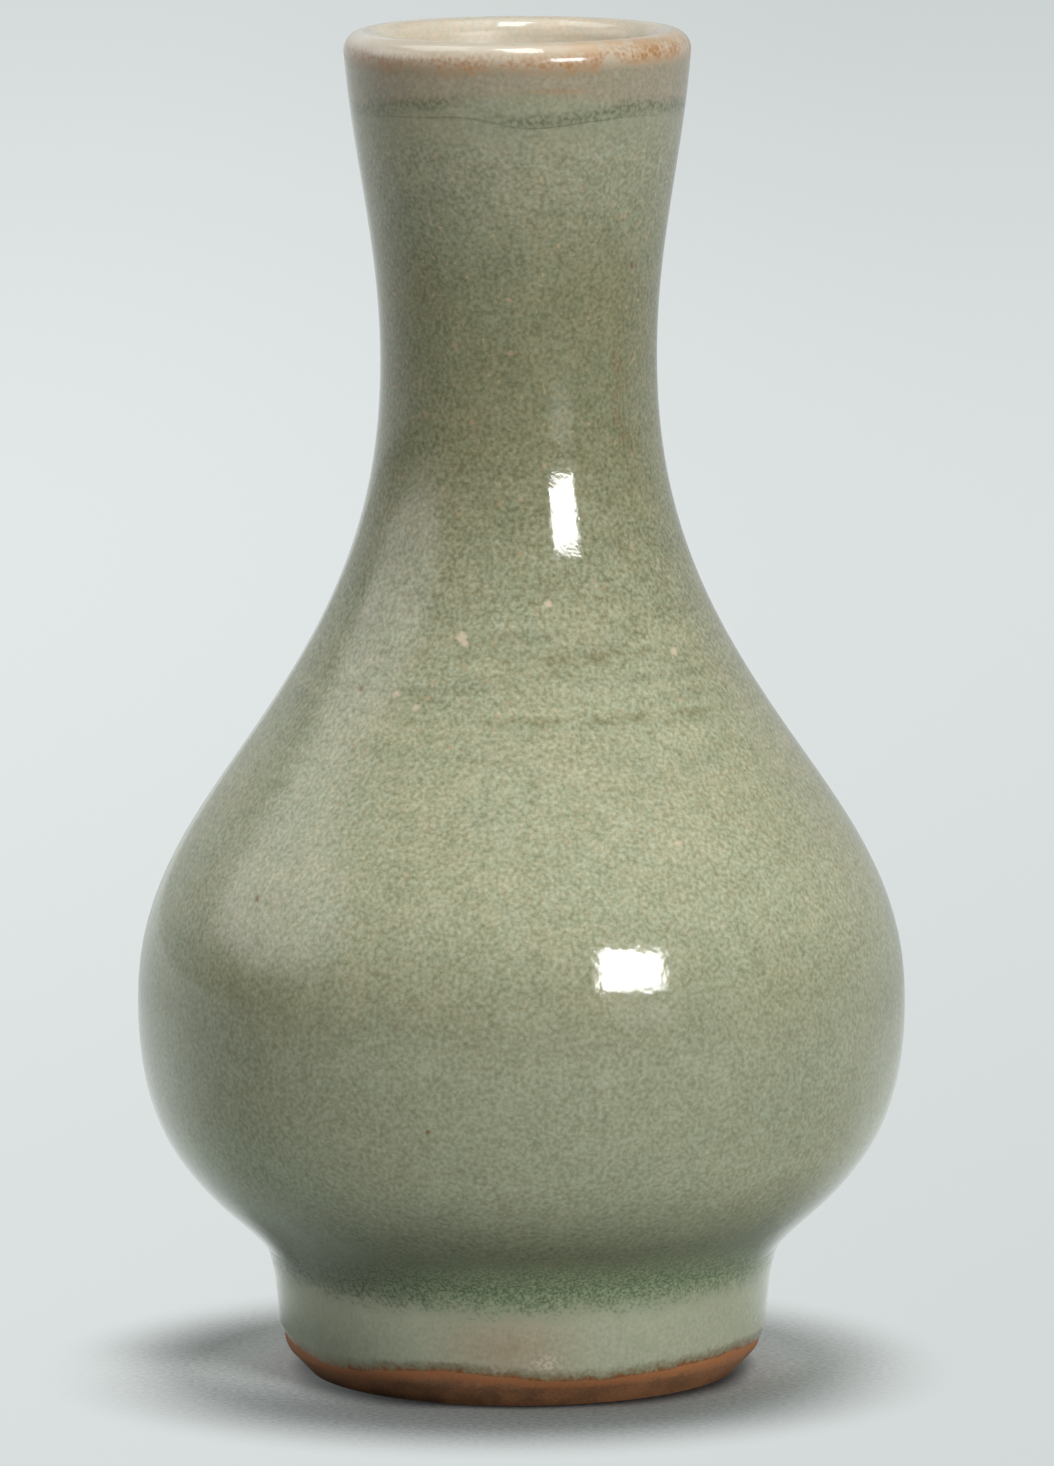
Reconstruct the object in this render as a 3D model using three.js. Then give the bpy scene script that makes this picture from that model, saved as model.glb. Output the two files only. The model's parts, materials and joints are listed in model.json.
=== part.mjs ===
// Pear-shaped bottle vase in celadon-glazed stoneware, taken apart into the pieces that a potter makes:
// four thrown sections of clay, the slip that lutes one section to the next, and the coats of glaze.
// Millimetres and degrees, +Z up, with the origin on the table at the centre of the foot.
import * as THREE from "three";

// Flats round every turned piece. A multiple of four puts corners on the X and Y axes.
const facets = 32;

// Whole bottle, from the table to the glazed crown of the lip.
const totalHeight = 130;

// Foot ring: a flat bearing face, a bare turned chamfer, and a wall up to the foot joint.
const bearingRadius = 20.7;
const bearingWidth = 4.5;
const chamferHeight = 2.45;
const footRadius = 23.05;
const footJointRadius = 23.85;
const footJointHeight = 11;
const footJointLean = 3;
const footJointWidth = 8.6;

// Belly: the widest station, where the lower and upper sections are luted.
const bellyRadius = 36.4;
const bellyHeight = 36.1;
const bellyJointWidth = 3.8;
const floorThickness = 6.3;

// Shoulder: the leaning wall between belly and neck, where the neck is luted on.
const shoulderRadius = 22.5;
const shoulderHeight = 66;
const shoulderLean = -32.4;
const shoulderJointWidth = 4.1;

// Neck: the narrowest station, then a flare up to a half-round lip.
const neckRadius = 12.6;
const neckHeight = 98.4;
const neckWall = 3.1;
const rimRadius = 16.3;
const rimLean = 4;
const lipThickness = 3;

// Luting slip between two sections.
const slipThickness = 0.6;

// Glaze: a first coat over the whole outside, a second dip that stops short of the lip and the foot,
// a coat poured round the inside, and a coat in the recess under the foot. The second coat pools in
// the cove above the foot, and has drained down from the flare of the neck.
const firstCoat = 0.35;
const secondCoat = 0.35;
const secondCoatPool = 0.45;
const secondCoatBottom = 12.2;
const secondCoatTop = 122.8;
const insideCoat = 0.35;
const baseCoat = 0.35;
const baseCoatEdge = 3;
const glazeFeather = 1.6;

// How far a wall keeps the lean of a station, as a share of the chord to the next station.
const easyShare = 0.37;
const coveShare = 0.24;
const lowerBellyShare = 0.71;
const bowlShare = 0.5;

// Straight pieces in each stretch of the profile.
const bellyPieces = 7;
const shoulderPieces = 5;
const neckPieces = 5;
const flarePieces = 4;
const lipPieces = 2;
const insidePieces = 4;

// A place on the profile: x is the radius, y the height, and the direction runs up the wall.
function station(radius, height, lean) {
  const angle = THREE.MathUtils.degToRad(lean);
  return {
    point: new THREE.Vector2(radius, height),
    direction: new THREE.Vector2(Math.sin(angle), Math.cos(angle)),
  };
}

// The station moved up along its wall until it has climbed by rise.
function climbed({ point, direction }, rise) {
  return { point: point.clone().addScaledVector(direction, rise / direction.y), direction };
}

// The two faces of a luted joint, below and above its slip.
const below = (joint) => climbed(joint, -slipThickness / 2);
const above = (joint) => climbed(joint, slipThickness / 2);

// The inner face of the wall at a station, with the wall's width measured level.
function inside({ point, direction }, width) {
  return { point: new THREE.Vector2(point.x - width, point.y), direction };
}

// One smooth stretch of wall between two stations.
function wall(from, to, fromShare = easyShare, toShare = easyShare) {
  const chord = from.point.distanceTo(to.point);
  return new THREE.CubicBezierCurve(
    from.point,
    from.point.clone().addScaledVector(from.direction, chord * fromShare),
    to.point.clone().addScaledVector(to.direction, -chord * toShare),
    to.point,
  );
}

// Points along a curve, from one share of it to another.
function along(curve, pieces, start = 0, end = 1) {
  return Array.from({ length: pieces + 1 }, (_, i) => curve.getPoint(start + ((end - start) * i) / pieces));
}

// The share of a rising curve at which it reaches a height.
function shareAtHeight(curve, height) {
  let low = 0;
  let high = 1;
  for (let halving = 0; halving < 40; halving++) {
    const middle = (low + high) / 2;
    if (curve.getPoint(middle).y < height) low = middle;
    else high = middle;
  }
  return low;
}

// The point at a height on the straight line between two points.
function atHeight(from, to, height) {
  return from.clone().lerp(to, (height - from.y) / (to.y - from.y));
}

// The free surface of a coat: each point of a chain moved square to the chain, to its right, by its thickness.
// A chain that ends on the axis goes on as its own mirror image there.
function coated(chain, thicknessAt) {
  const across = (i, from) => (chain[from].x === 0 ? new THREE.Vector2(-chain[i].x, chain[i].y) : chain[from]);
  return chain.map((point, i) => {
    const before = chain[i - 1] ?? across(i + 1, i);
    const after = chain[i + 1] ?? across(i - 1, i);
    const run = after.clone().sub(before).normalize();
    return point.clone().addScaledVector(new THREE.Vector2(run.y, -run.x), thicknessAt(i));
  });
}

// Stations of the bare clay, from the foot to the lip.
const lipRadius = lipThickness / 2;
const crownHeight = totalHeight - firstCoat;
const glazeLine = new THREE.Vector2(footRadius, chamferHeight);
const footJoint = station(footJointRadius, footJointHeight, footJointLean);
const belly = station(bellyRadius, bellyHeight, 0);
const shoulder = station(shoulderRadius, shoulderHeight, shoulderLean);
const neck = station(neckRadius, neckHeight, 0);
const rim = station(rimRadius, crownHeight - lipRadius, rimLean);
const lipCentre = new THREE.Vector2(rimRadius - lipRadius, rim.point.y);
const lipArc = (start, end) => {
  const arc = new THREE.EllipseCurve(lipCentre.x, lipCentre.y, lipRadius, lipRadius, start, end);
  return along(arc, lipPieces);
};

// Outside of the clay, bottom to top. The second dip's two edges fall on points of their own.
const footTop = below(footJoint).point;
const footOutside = [glazeLine, atHeight(glazeLine, footTop, chamferHeight + glazeFeather), footTop];
const lowerWall = wall(above(footJoint), below(belly), coveShare, lowerBellyShare);
const lowerShare = shareAtHeight(lowerWall, secondCoatBottom);
const coveOutside = along(lowerWall, 1, 0, lowerShare);
const lowerOutside = along(lowerWall, bellyPieces, lowerShare, 1);
const upperOutside = along(wall(above(belly), below(shoulder)), shoulderPieces);
const neckOutside = along(wall(above(shoulder), neck), neckPieces);
const flare = wall(neck, rim);
const flareShare = shareAtHeight(flare, secondCoatTop);
const flareOutside = along(flare, flarePieces, 0, flareShare);
const mouthOutside = [...along(flare, 1, flareShare, 1), ...lipArc(0, Math.PI / 2).slice(1)];

// Inside of the clay, top to bottom, from the crown of the lip to the middle of the floor.
const floorHeight = above(footJoint).point.y + floorThickness;
const floorMiddle = { point: new THREE.Vector2(0, floorHeight), direction: new THREE.Vector2(1, 0) };
const neckInner = inside(neck, neckWall);
const downward = (from, to, ...shares) => along(wall(from, to, ...shares), insidePieces).reverse();
const lipInside = lipArc(Math.PI / 2, Math.PI);
const flareInside = downward(neckInner, inside(rim, lipThickness));
const neckInside = downward(inside(above(shoulder), shoulderJointWidth), neckInner);
const upperInside = downward(
  inside(above(belly), bellyJointWidth),
  inside(below(shoulder), shoulderJointWidth),
);
const bowlInside = along(
  wall(floorMiddle, inside(below(belly), bellyJointWidth), bowlShare, bowlShare),
  bellyPieces,
).reverse();

// Recess under the foot: its ceiling is the underside of the lower belly.
const recessTop = inside(below(footJoint), footJointWidth).point;
const recessCorner = inside(above(footJoint), footJointWidth).point;
const recessMouth = new THREE.Vector2(bearingRadius - bearingWidth, 0);
const recessCeiling = new THREE.Vector2(0, recessCorner.y);

// Materials
const finish = (color, roughness) => new THREE.MeshStandardMaterial({ color, roughness, metalness: 0 });
const stoneware = finish("#b3a796", 0.85);
const burntFoot = finish("#6b4529", 0.8);
const lutingSlip = finish("#a3947f", 0.9);
const thinGlaze = finish("#a5a48c", 0.2);
const celadon = finish("#8f937a", 0.12);
const creamGlaze = finish("#c3b9a2", 0.18);

// A piece turned on the wheel: an outline that runs up the outside and down the inside, spun round the axis.
function turned(name, outline, material) {
  const mesh = new THREE.Mesh(new THREE.LatheGeometry(outline, facets), material);
  mesh.name = name;
  return mesh;
}

// A ring of slip filling a joint between two sections, as wide as the joint.
function slipRing(name, joint, width) {
  const lower = below(joint);
  const upper = above(joint);
  const outline = [lower.point, upper.point, inside(upper, width).point, inside(lower, width).point];
  return turned(name, [...outline, lower.point], lutingSlip);
}

// Clay sections and the slip between them.
function thrownSections() {
  const bearingEdge = new THREE.Vector2(bearingRadius, 0);
  const footRing = [bearingEdge, ...footOutside, recessTop, recessMouth, bearingEdge];
  const lowerBelly = [recessCeiling, ...coveOutside, ...lowerOutside.slice(1), ...bowlInside];
  const upperBelly = [...upperOutside, ...upperInside, upperOutside[0]];
  const neckPiece = [
    ...neckOutside,
    ...flareOutside.slice(1),
    ...mouthOutside.slice(1),
    ...lipInside.slice(1),
    ...flareInside.slice(1),
    ...neckInside.slice(1),
    neckOutside[0],
  ];
  return [
    turned("foot_ring", footRing, burntFoot),
    slipRing("foot_joint_slip", footJoint, footJointWidth),
    turned("lower_belly", lowerBelly, stoneware),
    slipRing("belly_joint_slip", belly, bellyJointWidth),
    turned("upper_belly", upperBelly, stoneware),
    slipRing("shoulder_joint_slip", shoulder, shoulderJointWidth),
    turned("neck", neckPiece, stoneware),
  ];
}

// Coats of glaze, each lying on the clay or on the coat before it.
function glazeCoats() {
  const outside = [
    ...footOutside,
    ...coveOutside,
    ...lowerOutside.slice(1),
    ...upperOutside,
    ...neckOutside,
    ...flareOutside.slice(1),
    ...mouthOutside.slice(1),
  ];
  const crown = outside.length - 1;
  const skin = [
    ...outside,
    ...lipInside.slice(1),
    ...flareInside.slice(1),
    ...neckInside.slice(1),
    ...upperInside,
    ...bowlInside,
  ];
  const glazed = coated(skin, (i) => (i === 0 ? 0 : i <= crown ? firstCoat : insideCoat));
  const firstFree = glazed.slice(0, crown + 1);

  const dipStart = outside.indexOf(coveOutside.at(-1));
  const dipEnd = outside.indexOf(flareOutside.at(-1));
  const dipped = firstFree.slice(dipStart, dipEnd + 1);
  const dippedEnd = dipped.length - 1;
  const secondFree = coated(dipped, (i) => {
    if (i === 0) return 0;
    const drained = Math.min(1, (dippedEnd - i) / flarePieces);
    return drained * (i === 1 ? secondCoatPool : secondCoat);
  });

  const recess = [recessCeiling, recessCorner, recessTop, atHeight(recessTop, recessMouth, baseCoatEdge)];
  const recessFree = coated(recess, (i) => (i === recess.length - 1 ? 0 : baseCoat));

  return [
    turned("first_glaze_coat", [...firstFree, ...outside.toReversed()], thinGlaze),
    turned("second_glaze_coat", [...secondFree, ...dipped.slice(0, -1).reverse()], celadon),
    turned("inside_glaze_coat", [...skin.slice(crown).reverse(), ...glazed.slice(crown)], creamGlaze),
    turned("base_glaze_coat", [...recessFree.slice(0, -1), ...recess.toReversed()], thinGlaze),
  ];
}

// The wheel's axis is Y on each turned piece, and the bottle stands along Z.
const bottle = new THREE.Group().add(...thrownSections(), ...glazeCoats());
bottle.rotation.x = Math.PI / 2;

export default new THREE.Group().add(bottle);
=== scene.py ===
# %% [markdown]
# # A small celadon bottle vase
#
# The vase is one fired pot. A potter throws its sections on the wheel, lutes them with slip, turns the
# foot, and glazes it in two dips. Everything on it is round, so each piece can be drawn as one outline and
# turned about the axis. The packed model gives the frame: where every piece lies and how large it is.

# %% Load the frame
import bisect
import json
import math
from collections import namedtuple

import bpy
from mathutils import Matrix, Vector

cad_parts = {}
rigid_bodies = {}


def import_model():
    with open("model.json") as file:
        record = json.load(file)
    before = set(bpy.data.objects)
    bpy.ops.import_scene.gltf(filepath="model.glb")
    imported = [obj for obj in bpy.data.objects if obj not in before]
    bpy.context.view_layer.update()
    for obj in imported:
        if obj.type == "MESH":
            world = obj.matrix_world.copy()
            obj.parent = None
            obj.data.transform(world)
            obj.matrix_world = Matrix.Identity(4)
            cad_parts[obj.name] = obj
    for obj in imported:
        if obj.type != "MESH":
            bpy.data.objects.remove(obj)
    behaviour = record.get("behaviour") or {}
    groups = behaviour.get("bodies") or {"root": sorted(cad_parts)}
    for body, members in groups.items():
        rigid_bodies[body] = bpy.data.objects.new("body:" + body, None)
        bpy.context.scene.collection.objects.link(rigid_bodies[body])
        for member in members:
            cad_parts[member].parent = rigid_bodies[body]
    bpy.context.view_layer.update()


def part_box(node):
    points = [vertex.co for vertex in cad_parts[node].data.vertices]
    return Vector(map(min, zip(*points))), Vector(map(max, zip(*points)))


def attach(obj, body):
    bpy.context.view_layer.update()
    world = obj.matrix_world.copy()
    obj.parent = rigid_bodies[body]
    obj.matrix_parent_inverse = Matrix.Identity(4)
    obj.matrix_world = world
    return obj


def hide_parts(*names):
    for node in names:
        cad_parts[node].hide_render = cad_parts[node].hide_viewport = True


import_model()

MM = 0.001
bpy.ops.object.select_all(action="DESELECT")

# %% [markdown]
# ## Stations of the wall
#
# A thrown wall is easiest to describe by a few stations: a radius, a height, and how far the wall leans
# there. The joints between sections are stations, and the slip rings in the frame say where they are. What
# the frame's boxes can't say, such as the waist of the neck, is written here as a size.

# %% Stations of the bare clay
Station = namedtuple("Station", "point along")

FOOT_LEAN = 3
SHOULDER_LEAN = -32.4
RIM_LEAN = 4
NECK_RADIUS = 12.6 * MM
NECK_HEIGHT = 98.4 * MM
RIM_RADIUS = 16.3 * MM
LIP_THICKNESS = 3 * MM


def station(radius, height, lean):
    turn = math.radians(lean)
    return Station(Vector((radius, 0, height)), Vector((math.sin(turn), 0, math.cos(turn))))


def joint_station(slip_node, lean):
    """The middle of a slip ring's outer edge. Its box is as wide as the wider of its two edges."""
    low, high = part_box(slip_node)
    half_slip = (high.z - low.z) / 2
    return station(high.x - half_slip * abs(math.tan(math.radians(lean))), low.z + half_slip, lean)


slip_low, slip_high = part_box("belly_joint_slip")
SLIP = slip_high.z - slip_low.z
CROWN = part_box("neck")[1].z
foot_joint = joint_station("foot_joint_slip", FOOT_LEAN)
belly = joint_station("belly_joint_slip", 0)
shoulder = joint_station("shoulder_joint_slip", SHOULDER_LEAN)
neck = station(NECK_RADIUS, NECK_HEIGHT, 0)
rim = station(RIM_RADIUS, CROWN - LIP_THICKNESS / 2, RIM_LEAN)
for name, place in zip(("foot", "belly", "shoulder"), (foot_joint, belly, shoulder)):
    print(name, "joint: radius %.2f mm, height %.2f mm" % (place.point.x / MM, place.point.z / MM))

# %% [markdown]
# ## Stretches of wall
#
# Between two stations the wall is one cubic Bezier curve, which keeps the lean of each station for a share
# of the way. Blender's curve objects use the same curves, so a stretch is just four control points, and a
# run of them can be drawn without any fitting.

# %% Stretches between stations
# How far a wall keeps the lean of a station, as a share of the way to the next one.
EASY = 0.37
COVE = 0.24
LOWER_BELLY = 0.71
BOWL = 0.5
# Handles this far along the two sides of a corner make a quarter of a circle.
ROUND = 0.5523
HALVINGS = 40


def stretch(start, end, start_share=EASY, end_share=EASY):
    chord = (end.point - start.point).length
    first = start.point + start.along * chord * start_share
    second = end.point - end.along * chord * end_share
    return [start.point, first, second, end.point]


def straight(start, end):
    return [start, start.lerp(end, 1 / 3), start.lerp(end, 2 / 3), end]


def quarter_turn(start, corner, end):
    """A quarter of a circle from start to end, leaving and arriving along the lines to corner."""
    return [start, start.lerp(corner, ROUND), end.lerp(corner, ROUND), end]


def point_on(curve, share):
    a, b, c, d = curve
    left = 1 - share
    return a * left**3 + b * 3 * left**2 * share + c * 3 * left * share**2 + d * share**3


def share_at_height(curve, height):
    """How far along a curve that climbs this height is, found by halving."""
    low, high = 0.0, 1.0
    for _ in range(HALVINGS):
        middle = (low + high) / 2
        if point_on(curve, middle).z < height:
            low = middle
        else:
            high = middle
    return low


def part_of(curve, start, end):
    """The control points of a part of a curve, from one share of it to another."""
    slope = (end - start) / 3

    def heading(share):
        a, b, c, d = curve
        left = 1 - share
        return (b - a) * 3 * left**2 + (c - b) * 6 * left * share + (d - c) * 3 * share**2

    first, last = point_on(curve, start), point_on(curve, end)
    return [first, first + heading(start) * slope, last - heading(end) * slope, last]


print("a stretch from belly to shoulder starts", [tuple(p) for p in stretch(belly, shoulder)][:2])

# %% [markdown]
# ## Faces of a joint, and runs of stretches
#
# A joint has two faces with slip between them, so its station moves up the wall for one face and down it
# for the other. The inner side of a wall is its station moved in. Stretches that follow each other make a
# run, and an outline is a run that goes up one side of a piece and back down the other.

# %% Move stations and join runs
TOUCHING = MM / 1000


def climbed(place, rise):
    return Station(place.point + place.along * (rise / place.along.z), place.along)


def below(joint):
    return climbed(joint, -SLIP / 2)


def above(joint):
    return climbed(joint, SLIP / 2)


def inside(place, width):
    return Station(place.point - Vector((width, 0, 0)), place.along)


def backwards(curves):
    return [curve[::-1] for curve in reversed(curves)]


def joined(*runs):
    """One run of curves from several, with straight lines where one doesn't start at the last one's end."""
    whole = []
    for curve in (curve for run in runs for curve in run):
        if whole and (whole[-1][3] - curve[0]).length > TOUCHING:
            whole.append(straight(whole[-1][3], curve[0]))
        whole.append(curve)
    return whole


foot_faces = [round(side(foot_joint).point.z / MM, 2) for side in (below, above)]
print("faces of the foot joint, in mm:", foot_faces)

# %% [markdown]
# ## Outside and inside of the wall
#
# The outside runs from the softened edge of the foot's chamfer up to the crown of the lip. The inside runs
# from the middle of the floor up to the crown.

# %% Outside and inside of the clay
BELLY_WALL = 3.8 * MM
SHOULDER_WALL = 4.1 * MM
NECK_WALL = 3.1 * MM
FOOT_RADIUS = 23.05 * MM
BEARING_RADIUS = 20.7 * MM
CHAMFER_SOFTNESS = 0.7 * MM
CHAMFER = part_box("first_glaze_coat")[0].z
BOWL_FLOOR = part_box("inside_glaze_coat")[0].z

bearing_out = Vector((BEARING_RADIUS, 0, 0))
chamfer_corner = Vector((FOOT_RADIUS, 0, CHAMFER))
foot_top = below(foot_joint).point
soft_low = chamfer_corner + (bearing_out - chamfer_corner).normalized() * CHAMFER_SOFTNESS
soft_high = chamfer_corner + (foot_top - chamfer_corner).normalized() * CHAMFER_SOFTNESS
softened_edge = quarter_turn(soft_low, chamfer_corner, soft_high)
foot_wall = straight(soft_high, foot_top)

crown = Vector((RIM_RADIUS - LIP_THICKNESS / 2, 0, CROWN))
rim_inside = inside(rim, LIP_THICKNESS)
lower_outside = stretch(above(foot_joint), below(belly), COVE, LOWER_BELLY)
upper_outside = stretch(above(belly), below(shoulder))
throat_outside = stretch(above(shoulder), neck)
flare_outside = stretch(neck, rim)
lip_outside = quarter_turn(rim.point, Vector((rim.point.x, 0, CROWN)), crown)

floor_middle = Station(Vector((0, 0, BOWL_FLOOR)), Vector((1, 0, 0)))
lower_inside = stretch(floor_middle, inside(below(belly), BELLY_WALL), BOWL, BOWL)
upper_inside = stretch(inside(above(belly), BELLY_WALL), inside(below(shoulder), SHOULDER_WALL))
throat_inside = stretch(inside(above(shoulder), SHOULDER_WALL), inside(neck, NECK_WALL))
flare_inside = stretch(inside(neck, NECK_WALL), rim_inside)
lip_inside = quarter_turn(rim_inside.point, Vector((rim_inside.point.x, 0, CROWN)), crown)
print("crown of the clay: radius %.2f mm, height %.2f mm" % (crown.x / MM, crown.z / MM))

# %% [markdown]
# ## From outline to piece
#
# A learner might add a cylinder and scale its rings one by one. For a pot it is easier to draw half of its
# section as a Bezier curve, turn that into edges, and let a Screw modifier carry them once round the axis.
# The turn leaves a doubled seam and, on the axis, a pile of points. Merging doubles closes both, and then
# the normals can be made to point outwards.

# %% Draw an outline and turn it
CURVE_STEPS = 18
WHEEL_STEPS = 192
STRAIGHT_STEPS = 3
SEAM = 2e-6
SHARP_ANGLE = math.radians(40)


def draw_outline(name, curves, steps):
    """A mesh of edges along a run of curves in the plane of X and Z."""
    closed = (curves[-1][3] - curves[0][0]).length < TOUCHING
    bpy.ops.object.select_all(action="DESELECT")
    bpy.ops.curve.primitive_bezier_curve_add(location=(0, 0, 0))
    outline = bpy.context.object
    outline.name = name
    spline = outline.data.splines[0]
    spline.resolution_u = steps
    spline.use_cyclic_u = closed
    spline.bezier_points.add(len(curves) - (2 if closed else 1))
    for i, knot in enumerate(spline.bezier_points):
        knot.handle_left_type = "FREE"
        knot.handle_right_type = "FREE"
        leaving = curves[min(i, len(curves) - 1)]
        arriving = curves[i - 1] if i or closed else curves[0]
        knot.co = curves[i][0] if i < len(curves) else curves[-1][3]
        knot.handle_left = arriving[2]
        knot.handle_right = leaving[1]
    bpy.ops.object.convert(target="MESH")
    return bpy.context.object


def turn_piece(name, curves, steps=CURVE_STEPS):
    """A closed round piece from an outline that closes on itself or ends on the axis."""
    piece = draw_outline(name, curves, steps)
    screw = piece.modifiers.new("wheel", "SCREW")
    screw.axis = "Z"
    screw.steps = WHEEL_STEPS
    screw.render_steps = WHEEL_STEPS
    screw.use_merge_vertices = True
    screw.merge_threshold = SEAM
    bpy.ops.object.modifier_apply(modifier=screw.name)
    bpy.ops.object.mode_set(mode="EDIT")
    bpy.ops.mesh.select_all(action="SELECT")
    bpy.ops.mesh.remove_doubles(threshold=SEAM)
    bpy.ops.mesh.normals_make_consistent(inside=False)
    bpy.ops.object.mode_set(mode="OBJECT")
    bpy.ops.object.shade_smooth_by_angle(angle=SHARP_ANGLE)
    piece.data.name = name
    print(name, len(piece.data.polygons), "faces")
    return piece


def closed_outline(*runs):
    """A run that is closed by a straight line back to its start."""
    whole = joined(*runs)
    gap = (whole[-1][3] - whole[0][0]).length
    return joined(whole, [straight(whole[-1][3], whole[0][0])]) if gap > TOUCHING else whole


# %% [markdown]
# ## Clay sections
#
# The four sections are the body of the vase. Once glazed, only the foot ring shows, as a bare chamfer
# above the table, whose edge is worn soft by the potter's sponge. Its outline goes up the outside, across
# the joint and down the wall of the recess, and the flat bearing face closes it.

# %% Foot ring
BEARING_WIDTH = 4.5 * MM
FOOT_JOINT_WIDTH = 8.6 * MM

bearing_in = Vector((BEARING_RADIUS - BEARING_WIDTH, 0, 0))
recess_top = inside(below(foot_joint), FOOT_JOINT_WIDTH).point
recess_corner = inside(above(foot_joint), FOOT_JOINT_WIDTH).point
recess_middle = Vector((0, 0, recess_corner.z))

foot_ring = turn_piece(
    "foot_ring_clay",
    closed_outline(
        [straight(bearing_out, soft_low), softened_edge, foot_wall],
        [straight(recess_top, bearing_in)],
    ),
)

# %% [markdown]
# ## Belly and neck
#
# The lower belly is a bowl with the floor of the vase, the upper belly a dome that is open at both ends,
# and the neck ends in a rounded lip. Glaze hides them all, but the pieces can be looked at one by one, so
# they are made just as carefully. The bowl's outline starts and ends on the axis, so it needs no closing.

# %% Lower belly, upper belly and neck
lower_belly = turn_piece(
    "lower_belly_clay",
    joined([straight(recess_middle, lower_outside[0]), lower_outside], backwards([lower_inside])),
)
upper_belly = turn_piece(
    "upper_belly_clay",
    closed_outline([upper_outside], backwards([upper_inside])),
)
neck_piece = turn_piece(
    "neck_clay",
    closed_outline(
        [throat_outside, flare_outside, lip_outside],
        backwards([throat_inside, flare_inside, lip_inside]),
    ),
)

# %% [markdown]
# ## Luting slip
#
# Slip is wet clay that glues two leather-hard sections. Each ring of it fills the joint between them, as
# wide as the wall is there.

# %% Three rings of slip


def slip_ring(name, joint, width):
    lower, upper = below(joint), above(joint)
    edges = [lower.point, upper.point, inside(upper, width).point, inside(lower, width).point]
    sides = [straight(start, end) for start, end in zip(edges, edges[1:] + edges[:1])]
    return turn_piece(name, sides, STRAIGHT_STEPS)


foot_slip = slip_ring("foot_slip", foot_joint, FOOT_JOINT_WIDTH)
belly_slip = slip_ring("belly_slip", belly, BELLY_WALL)
shoulder_slip = slip_ring("shoulder_slip", shoulder, SHOULDER_WALL)

# %% [markdown]
# ## A coat on a stretch of wall
#
# Each coat is a thin closed skin: its free surface on one side, and what it lies on on the other. Moving a
# curve's control points out wouldn't give an even depth where the wall leans, so the stretch is cut into
# short pieces first, and the ends of each piece move square to the wall. On most of the pot the depth
# stays, or eases from one value to another along a stretch. Near the foot it follows from the height,
# because there the glaze ran down and pooled, and no crease may show in the reflections.

# %% Raise a stretch by the depth of a coat
COAT_PIECES = 3
COAT_STEPS = 6


def eased(value, start, end):
    """How far a value is between two others, from 0 to 1, starting and ending gently."""
    share = min(max((value - start) / (end - start), 0), 1)
    return share**2 * (3 - 2 * share)


def square_to(start, end):
    """The direction square to a line that climbs the wall, pointing out of it."""
    run = (end - start).normalized()
    return Vector((run.z, 0, -run.x))


def lifted(part, low_depth, high_depth, low_climb, high_climb):
    """A short piece of wall moved out by the depths at its ends, leaving and arriving at these climbs."""
    a, b, c, d = part
    low_out, high_out = square_to(a, b), square_to(c, d)
    low = a + low_out * low_depth
    high = d + high_out * high_depth
    spread = (high - low).length / (d - a).length
    low_handle = (b - a) * spread + low_out * low_climb
    high_handle = (d - c) * spread + high_out * high_climb
    return [low, low + low_handle, high - high_handle, high]


def raised(curve, start_depth, end_depth):
    """The pieces of a coat's free surface on a stretch, eased from one depth to another."""
    change = end_depth - start_depth
    pieces = []
    for i in range(COAT_PIECES):
        ends = (i / COAT_PIECES, (i + 1) / COAT_PIECES)
        depths = [start_depth + change * eased(share, 0, 1) for share in ends]
        climbs = [change * 2 / COAT_PIECES * share * (1 - share) for share in ends]
        pieces.append(lifted(part_of(curve, *ends), *depths, *climbs))
    return pieces


def pooled(curves, depth_at):
    """A coat's free surface on a run of stretches where its depth follows from the height."""
    pieces = []
    for curve in curves:
        for i in range(COAT_PIECES):
            part = part_of(curve, i / COAT_PIECES, (i + 1) / COAT_PIECES)
            a, b, c, d = (depth_at(point.z) for point in part)
            pieces.append(lifted(part, a, d, b - a, d - c))
    return joined(pieces)


def raised_run(curves, depth):
    """A coat's free surface on a run of stretches, with one depth."""
    return joined(*(raised(curve, depth, depth) for curve in curves))


print("a coat has", COAT_PIECES * COAT_STEPS, "steps on each stretch")

# %% [markdown]
# ## Waves of the glaze edges
#
# The edges of the coats aren't level, because the potter dips by hand and the glaze runs. A few waves round
# the pot, each with its own count and height, move an edge up and down along the wall.

# %% Depths and edges of the coats
FIRST_COAT = 0.35 * MM
SECOND_COAT = 0.35 * MM
POOL = 0.9 * MM
TUCK = 0.06 * MM
INSIDE_COAT = 0.35 * MM
BASE_COAT = 0.35 * MM
FEATHER = 1.6 * MM
GLAZE_EDGE = 2.85 * MM
DIP_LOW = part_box("second_glaze_coat")[0].z
DIP_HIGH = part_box("second_glaze_coat")[1].z
GLAZE_EDGE_REACH = 4 * MM
DIP_LOW_REACH = 6 * MM
DIP_HIGH_REACH = 9 * MM

Wave = namedtuple("Wave", "count height start")
GLAZE_EDGE_WAVES = [
    Wave(1, 0.11 * MM, 144),
    Wave(5, 0.42 * MM, 15),
    Wave(7, 0.15 * MM, 24),
    Wave(23, 0.05 * MM, 3),
    Wave(41, 0.04 * MM, 2),
]
DIP_LOW_WAVES = [
    Wave(1, 0.6 * MM, 175),
    Wave(7, 0.15 * MM, -24),
    Wave(17, 0.05 * MM, 3),
]
DIP_HIGH_WAVES = [
    Wave(2, 0.35 * MM, 71),
    Wave(6, 0.35 * MM, 23),
    Wave(11, 0.08 * MM, 15),
]


def wave_height(waves, degrees):
    return sum(wave.height * math.cos(math.radians(wave.count * (degrees + wave.start))) for wave in waves)


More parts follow.
